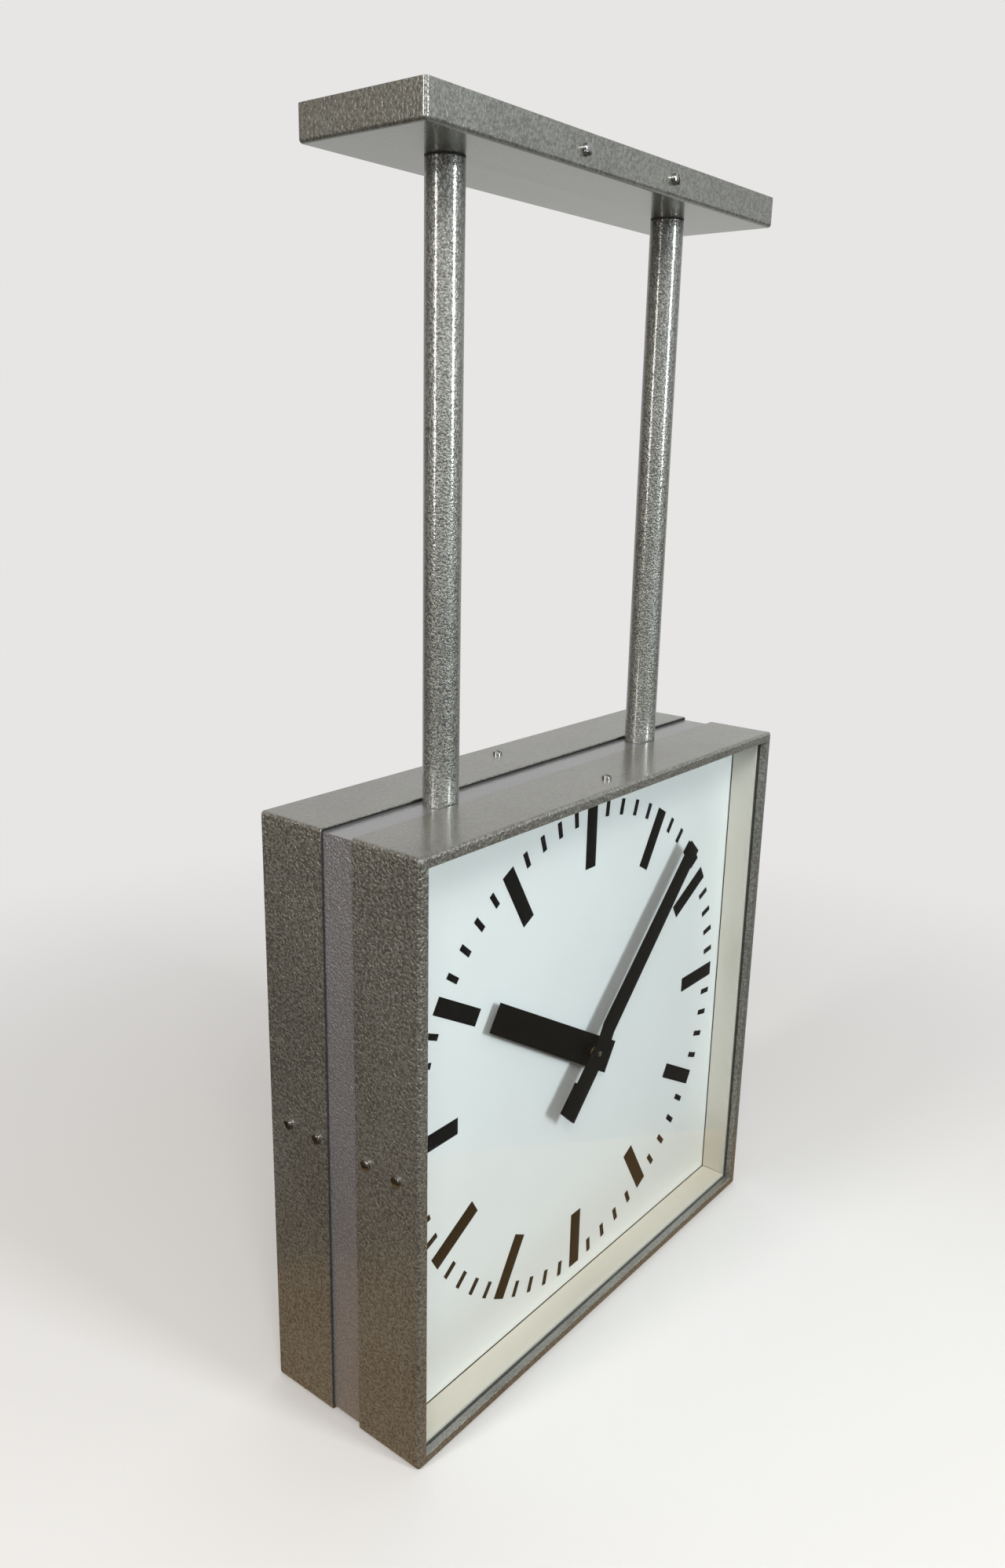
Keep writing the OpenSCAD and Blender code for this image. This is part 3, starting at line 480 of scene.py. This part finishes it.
def ease(points, count):
    """Points of a quarter-like arc from points[0] round points[1] to points[2], end points left out."""
    a, b, c = (Vector(p) for p in points)
    return [(1 - t) ** 2 * a + 2 * t * (1 - t) * b + t * t * c for t in (i / count for i in range(1, count))]


def run(start, end, count):
    """Points evenly spaced after start up to and with end."""
    a, b = Vector(start), Vector(end)
    return [a.lerp(b, i / count) for i in range(1, count + 1)]


def closed_skin(bm, rings):
    """Faces between each ring of vertices and the next one, and between the last and the first."""
    for low, high in zip(rings, rings[1:] + rings[:1]):
        for i in range(len(low)):
            j = (i + 1) % len(low)
            bm.faces.new((low[i], low[j], high[j], high[i]))
    return bm


def rounded_rectangle(hx, hy, r, height, straight_x, straight_y):
    """Points round a rectangle of half sizes hx and hy with corners of radius r."""
    corners = ((1, 1, 0), (-1, 1, 90), (-1, -1, 180), (1, -1, 270))
    corner_steps = 5

    def on_corner(sx, sy, degrees):
        t = math.radians(degrees)
        centre = Vector((sx * (hx - r), sy * (hy - r), height))
        return centre + Vector((r * math.cos(t), r * math.sin(t), 0))

    points = []
    for index, (sx, sy, start) in enumerate(corners):
        points += [on_corner(sx, sy, start + 90 * i / corner_steps) for i in range(corner_steps + 1)]
        arc_end = points[-1]
        target = on_corner(*corners[(index + 1) % 4])
        steps = straight_x if index % 2 == 0 else straight_y
        points += [arc_end.lerp(target, i / steps) for i in range(1, steps)]
    return points


def framed_sweep(profile, half_x, half_y, radius_at, straight_x, straight_y):
    """Sweeps a closed profile of (inset, height) points round a rectangle with rounded corners.
    radius_at gives the corner radius at an inset, straight_x and straight_y the steps along a side."""
    bm = bmesh.new()
    rings = []
    for inset, height in profile:
        hx, hy = half_x - inset, half_y - inset
        ring = rounded_rectangle(hx, hy, radius_at(inset), height, straight_x, straight_y)
        rings.append([bm.verts.new(p) for p in ring])
    return closed_skin(bm, rings)


def lathe(profile, segments):
    """Turns a closed profile of (radius, height) points about the z axis."""
    bm = bmesh.new()
    rings = []
    for radius, height in profile:
        turns = (2 * math.pi * i / segments for i in range(segments))
        rings.append([bm.verts.new((radius * math.cos(t), radius * math.sin(t), height)) for t in turns])
    return closed_skin(bm, rings)


def buckle(bm, depth, seed, fixed=None):
    """Pushes sheet metal in by up to depth in long soft waves, as rolled and welded sheet lies."""
    draw = random.Random(seed)
    waves = []
    for _ in range(6):
        direction = Vector((draw.uniform(-1, 1), draw.uniform(-1, 1), draw.uniform(-1, 1))).normalized()
        waves.append((direction * draw.uniform(18, 46), draw.uniform(0, 6.28)))
    bm.normal_update()
    moves = []
    for vert in bm.verts:
        height = sum(math.sin(k.dot(vert.co) + phase) for k, phase in waves) / len(waves)
        moves.append(vert.normal * (height - 1.0) * depth * 0.5)
    for vert, move in zip(bm.verts, moves):
        if fixed is None or not fixed(vert.co):
            vert.co += move


def islands(bm):
    """Groups of vertices that hang together."""
    left = set(bm.verts)
    found = []
    while left:
        start = min(left, key=lambda v: v.index)
        group, queue = {start}, [start]
        while queue:
            for edge in queue.pop().link_edges:
                for vert in edge.verts:
                    if vert not in group:
                        group.add(vert)
                        queue.append(vert)
        left -= group
        found.append(sorted(group, key=lambda v: v.index))
    return found


# ---- Covers ----

SHEET = 1.5 * MM
EDGE_R = 3 * MM
BEZEL = 9 * MM
# Width and depth of the slope that breaks the window's edge
FLARE = 1.1 * MM
LIP_DEPTH = 6.3 * MM
# Rounding that the paint gives to a cut edge
PAINT_R = 0.4 * MM
# Rounding inside a fold
FOLD_R = 0.5 * MM
# Steps in which a folded edge goes round
EDGE_STEPS = 8
M4_HOLE_R = 2.25 * MM
M5_HOLE_R = 2.75 * MM
M5_HEAD_R = 4.25 * MM
COVER_DRILL_L = 12 * MM
# The part of a cover next to its face that the buckling leaves as it is
STIFF_DEPTH = 7 * MM
BUCKLE_SEEDS = {"front": 7, "rear": 8, "canopy": 11}


def facing(side):
    """Matrix from a face's own frame, x to its right, y up and z outwards, to the clock's frame."""
    lo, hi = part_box("front_cover")
    turn = Matrix.Rotation(math.radians(0 if side == "front" else 180), 4, "Z")
    return Matrix.Translation((0, 0, (lo.z + hi.z) / 2)) @ turn @ Matrix.Rotation(math.radians(90), 4, "X")


def cover_profile(rim, face):
    """Section of a cover, as inset from the outer wall and distance from the middle plane."""
    back = face - SHEET
    lip = BEZEL - SHEET
    lip_end = face - LIP_DEPTH
    points = [Vector((0, rim + PAINT_R))]
    points += run((0, rim + PAINT_R), (0, face - EDGE_R), 8)
    for i in range(1, EDGE_STEPS + 1):
        t = math.radians(90 * i / EDGE_STEPS)
        points.append(Vector((EDGE_R * (1 - math.cos(t)), face - EDGE_R + EDGE_R * math.sin(t))))
    points += run((EDGE_R, face), (BEZEL - FLARE, face), 3)
    points += ease(((BEZEL - FLARE, face), (BEZEL, face), (BEZEL, face - FLARE)), 5)
    points += [Vector((BEZEL, face - FLARE))]
    points += run((BEZEL, face - FLARE), (BEZEL, lip_end + PAINT_R), 2)
    points += [Vector((BEZEL - PAINT_R, lip_end)), Vector((lip + PAINT_R, lip_end))]
    points += [Vector((lip, lip_end + PAINT_R)), Vector((lip, back))]
    points += [Vector((SHEET + FOLD_R, back)), Vector((SHEET, back - FOLD_R))]
    points += run((SHEET, back - FOLD_R), (SHEET, rim + PAINT_R), 8)
    points += [Vector((SHEET - PAINT_R * 0.3, rim + PAINT_R * 0.3)), Vector((SHEET - PAINT_R, rim))]
    points += [Vector((PAINT_R, rim)), Vector((PAINT_R * 0.3, rim + PAINT_R * 0.3))]
    return points


def cover_corner(inset):
    """Corner radius of a cover at an inset: the fold's own, and nearly sharp at the window."""
    return 0.3 * MM if inset > EDGE_R + MM else max(EDGE_R - inset, 0.05 * MM)


def screw_places(side):
    """Centre and direction of each cover screw, from its own solid, which is longer than wide."""
    bm = welded(NODES[side + "_cover_screws"].data)
    lo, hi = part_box(side + "_cover")
    places = []
    for island in islands(bm):
        low = Vector(min(v.co[i] for v in island) for i in range(3))
        high = Vector(max(v.co[i] for v in island) for i in range(3))
        centre = (low + high) / 2
        axis = max(range(3), key=lambda i: high[i] - low[i])
        along = Vector((0, 0, 0))
        along[axis] = 1 if centre[axis] > (lo[axis] + hi[axis]) / 2 else -1
        places.append((centre, along))
    bm.free()
    return places


def make_cover(side):
    node = side + "_cover"
    lo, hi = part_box(node)
    half = (hi.x - lo.x) / 2
    rim, face = sorted((abs(lo.y), abs(hi.y)))
    bm = framed_sweep(cover_profile(rim, face), half, half, cover_corner, 44, 44)
    buckle(bm, 0.25 * MM, BUCKLE_SEEDS[side], fixed=lambda co: abs(co.z - face) < STIFF_DEPTH)
    bm.transform(facing(side))
    holes = [drill(screw, along, M4_HOLE_R, COVER_DRILL_L) for screw, along in screw_places(side)]
    finish_piece(side + "_cover_shell", cut(mesh_from(bm, node), holes), node, "hammer_paint", 32.0)


for side in SIDES:
    make_cover(side)

# ---- Canopy and tubes ----

# How much smaller the radius of a tube's ends is than the tube's own
SPIGOT_STEP = 1 * MM
# Play round a tube's upper end in the canopy's hole
SPIGOT_PLAY = 0.4 * MM
SPIGOT_L = 17.5 * MM
TUBE_WALL = 2 * MM
TUBE_CHAMFER = 0.5 * MM
# The hole for the lead, and how far its middle lies below the tube's upper end
LEAD_HOLE_R = 4.5 * MM
LEAD_HOLE_DROP = 5 * MM
# Chamfer on the canopy's rim, and half the width of the strip along its middle that closes the sweep
RIM_CHAMFER = 0.3 * MM
MIDDLE_HALF = 3 * MM
CANOPY_DRILL_L = 10 * MM


def canopy_corner(inset):
    return max(EDGE_R - inset, 0.1 * MM)


def make_canopy():
    lo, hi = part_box("canopy")
    depth = hi.z - lo.z
    half_x, half_y = (hi.x - lo.x) / 2, (hi.y - lo.y) / 2
    middle = half_y - MIDDLE_HALF
    wall_top = depth - RIM_CHAMFER
    outer = [Vector((0, wall_top))] + run((0, wall_top), (0, EDGE_R), 5)
    for i in range(1, EDGE_STEPS + 1):
        t = math.radians(90 * i / EDGE_STEPS)
        outer.append(Vector((EDGE_R * (1 - math.cos(t)), EDGE_R - EDGE_R * math.sin(t))))
    outer += run((EDGE_R, 0), (middle, 0), 7)
    inner = [Vector((middle, SHEET))] + run((middle, SHEET), (SHEET + MM, SHEET), 4)
    inner += [Vector((SHEET, SHEET + MM)), Vector((SHEET, wall_top))]
    inner += [Vector((SHEET - RIM_CHAMFER, depth)), Vector((RIM_CHAMFER, depth))]
    bm = framed_sweep(outer + inner, half_x, half_y, canopy_corner, 40, 10)
    fill_middle(bm, len(outer), len(outer + inner))
    bm.transform(Matrix.Translation((0, 0, lo.z)))
    bmesh.ops.recalc_face_normals(bm, faces=bm.faces)
    buckle(bm, 0.2 * MM, BUCKLE_SEEDS["canopy"])
    holes = []
    for tube in ("left_tube", "right_tube"):
        t_lo, t_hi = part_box(tube)
        hole_r = (t_hi.x - t_lo.x) / 2 - SPIGOT_STEP + SPIGOT_PLAY
        holes.append(drill(((t_lo.x + t_hi.x) / 2, 0, lo.z), (0, 0, 1), hole_r, CANOPY_DRILL_L, 96))
    s_lo, s_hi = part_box("canopy_screws")
    for x in (s_lo.x + M5_HEAD_R, s_hi.x - M5_HEAD_R):
        for y in (lo.y, hi.y):
            holes.append(drill((x, y, (s_lo.z + s_hi.z) / 2), (0, 1, 0), M5_HOLE_R, CANOPY_DRILL_L))
    finish_piece("canopy_tray", cut(mesh_from(bm, "canopy"), holes), "canopy", "canopy_paint", 32.0)


def fill_middle(bm, split, count):
    """Takes out the faces that join the outer skin to the inner one, and fills both skins instead."""
    bm.verts.ensure_lookup_table()
    ring = len(bm.verts) // count
    joint = [f for f in bm.faces if {v.index // ring for v in f.verts} == {split - 1, split}]
    bmesh.ops.delete(bm, geom=joint, context="FACES_ONLY")
    bm.verts.ensure_lookup_table()
    bm.faces.new([bm.verts[(split - 1) * ring + i] for i in range(ring)])
    bm.faces.new([bm.verts[split * ring + i] for i in reversed(range(ring))])


def make_tube(node):
    lo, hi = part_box(node)
    x, r = (lo.x + hi.x) / 2, (hi.x - lo.x) / 2
    foot = lo.z + SPIGOT_L
    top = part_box("tube_seals")[0].z
    bore = r - TUBE_WALL
    neck = r - SPIGOT_STEP
    e = TUBE_CHAMFER
    profile = [Vector((bore, lo.z)), Vector((neck - e, lo.z)), Vector((neck, lo.z + e))]
    profile += [Vector((neck, foot)), Vector((r - e, foot)), Vector((r - 0.15 * e, foot + 0.4 * e))]
    profile += [Vector((r, foot + e))] + run((r, foot + e), (r, top - 0.4 * e), 40)
    profile += [Vector((r - 0.4 * e, top)), Vector((neck, top)), Vector((neck, hi.z - e))]
    profile += [Vector((neck - e, hi.z)), Vector((bore, hi.z))]
    bm = lathe(profile, 96)
    bm.transform(Matrix.Translation((x, 0, 0)))
    lead_hole = drill((x + r, 0, hi.z - LEAD_HOLE_DROP), (1, 0, 0), LEAD_HOLE_R, 2.2 * r)
    finish_piece(node + "_pipe", cut(mesh_from(bm, node), [lead_hole]), node, "tube_paint", 32.0)


make_canopy()
for node in ("left_tube", "right_tube"):
    make_tube(node)

# ---- Liner, dial, hands, glass and screws ----

MITRE_GAP = 0.3 * MM
MITRE_CUTTER = 40 * MM


def make_liner(side):
    """The liner as four mitred strips with hairline joints at the corners."""
    node = side + "_liner"
    lo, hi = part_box(node)
    centre = (lo + hi) / 2
    gaps = []
    for x in (-1, 1):
        for z in (-1, 1):
            corner = Vector((x * (hi.x - lo.x) / 2, centre.y, centre.z + z * (hi.z - lo.z) / 2))
            turn = Matrix.Rotation(math.radians(45 if x * z < 0 else -45), 4, "Y")
            size = (MITRE_CUTTER, MITRE_CUTTER, MITRE_GAP)
            gaps.append(plank(size, Matrix.Translation(corner) @ turn))
    refined(node, "cream_paint", 0.15 * MM, side + "_liner_strips", gaps)


for side in SIDES:
    make_liner(side)
    refined(side + "_dial", "dial_paint", 0.25 * MM, side + "_dial_sheet")
    refined(side + "_glass", "glass", 0.5 * MM, side + "_glass_pane")
    refined(side + "_hour_hand", "hand_paint", 0.12 * MM, side + "_hour_blade")
    refined(side + "_minute_hand", "hand_paint", 0.12 * MM, side + "_minute_blade")
    refined(side + "_hand_screw", "zinc", 0.08 * MM, side + "_hand_pin")
    refined(side + "_cover_screws", "zinc", 0.22 * MM, side + "_cover_bolts")
refined("canopy_screws", "zinc", 0.25 * MM, "canopy_bolts")
refined("carcass", "band_paint", 0.25 * MM, "carcass_band")

# ---- Studio ----

FLOOR_HALF = 6
FLOOR_SINK = 0.5 * MM
# Distances from the clock between which the floor fades into the backdrop
FLOOR_FADE = (0.4, 1.4)
BACKDROP = rgb(0.80, 0.79, 0.785)
BOARD_SINK = 6 * MM
BOARD_CORNERS = ((0.02, 0.50), (-0.49, 0.07), (-0.05, -0.46), (0.46, -0.04))
LIGHT_TARGET = (0, 0, 0.5)


def make_floor():
    """A pale floor that only the camera sees, so that its light doesn't reach the clock."""
    bm = bmesh.new()
    bmesh.ops.create_grid(bm, x_segments=2, y_segments=2, size=FLOOR_HALF)
    bm.transform(Matrix.Translation((0, 0, -FLOOR_SINK)))
    mesh = mesh_from(bm, "floor")
    floor = placed("floor", mesh)
    made, tree, shader = material("floor")
    put(tree, shader, Base_Color=rgb(0.62, 0.61, 0.60), Roughness=0.9)
    reach = vector_node(tree, "DISTANCE", {0: place_of(tree), 1: (0, 0, 0)})["Value"]
    clear = add(tree, "ShaderNodeBsdfTransparent")
    fade = remap(tree, reach, *FLOOR_FADE)
    mix = add(tree, "ShaderNodeMixShader", {0: fade, 1: shader.outputs[0], 2: clear.outputs[0]})
    set_surface(tree, mix.outputs[0])
    mesh.materials.append(made)
    floor.visible_diffuse = False
    floor.visible_glossy = False
    floor.visible_transmission = False
    floor.visible_shadow = False


def heading(degrees):
    """Level direction at an angle from +X towards +Y."""
    return (math.cos(math.radians(degrees)), math.sin(math.radians(degrees)), 0.0)


def make_world():
    """A pale room: bright above and on the right, dim below and at the rear left.
    The camera sees a plain backdrop instead."""
    world = bpy.data.worlds.new("studio")
    bpy.context.scene.world = world
    world.use_nodes = True
    tree = world.node_tree
    tree.nodes.clear()
    direction = add(tree, "ShaderNodeTexCoord").outputs["Generated"]
    level = vector_node(tree, "NORMALIZE", {0: stretched(tree, direction, (1, 1, 0))})[0]

    def sector(degrees, start, full):
        """Share of a colour that lies about a heading: the cosines at which it starts and is full."""
        dot = vector_node(tree, "DOT_PRODUCT", {0: level, 1: heading(degrees)})["Value"]
        return remap(tree, dot, start, full)

    above = remap(tree, axis_of(tree, direction, "Z"), -0.15, 0.25)
    room = blend(tree, above, rgb(0.05, 0.042, 0.033), rgb(0.66, 0.665, 0.665))
    wall = blend(tree, above, rgb(0.56, 0.56, 0.545), rgb(0.60, 0.60, 0.59))
    shade = blend(tree, above, rgb(0.055, 0.033, 0.012), rgb(0.24, 0.185, 0.14))
    lit = blend(tree, sector(38, 0.38, 0.72), room, wall)
    lit = blend(tree, sector(130, 0.72, 0.93), lit, shade)
    path = add(tree, "ShaderNodeLightPath")
    shown = blend(tree, path.outputs["Is Camera Ray"], lit, BACKDROP)
    background = add(tree, "ShaderNodeBackground", {"Color": shown, "Strength": 1.0})
    add(tree, "ShaderNodeOutputWorld", {"Surface": background.outputs[0]})


def make_bounce_board():
    """A warm board just under the clock, seen only by the light that it sends up."""
    bm = bmesh.new()
    bm.faces.new([bm.verts.new((x, y, -BOARD_SINK)) for x, y in BOARD_CORNERS])
    mesh = mesh_from(bm, "bounce")
    board = placed("bounce", mesh)
    made = bpy.data.materials.new("bounce")
    made.use_nodes = True
    tree = made.node_tree
    tree.nodes.clear()
    glow = add(tree, "ShaderNodeEmission", {"Color": rgb(0.38, 0.215, 0.07), "Strength": 0.62})
    add(tree, "ShaderNodeOutputMaterial", {"Surface": glow.outputs[0]})
    mesh.materials.append(made)
    board.visible_camera = False
    board.visible_shadow = False


def softbox(name, place, width, height, power, colour):
    data = bpy.data.lights.new(name, "AREA")
    data.shape = "RECTANGLE"
    data.size, data.size_y = width, height
    data.energy = power
    data.color = colour
    light = placed(name, data)
    light.location = place
    light.rotation_mode = "QUATERNION"
    light.rotation_quaternion = (Vector(LIGHT_TARGET) - Vector(place)).to_track_quat("-Z", "Y")


bpy.context.scene.view_settings.view_transform = "Standard"
make_floor()
make_world()
make_bounce_board()
softbox("key", (0.18, -2.4, 1.1), 0.45, 0.8, 43, (0.93, 0.98, 1.0))
softbox("left_window", (-2.4, 0.3, 1.15), 0.36, 1.2, 28, (1.0, 0.97, 0.95))
softbox("fill", (-1.45, -1.25, 2.0), 0.9, 0.7, 32, (1.0, 0.97, 0.93))
softbox("overhead", (0.6, 0.4, 2.8), 1.4, 1.4, 8, (0.92, 0.96, 1.0))
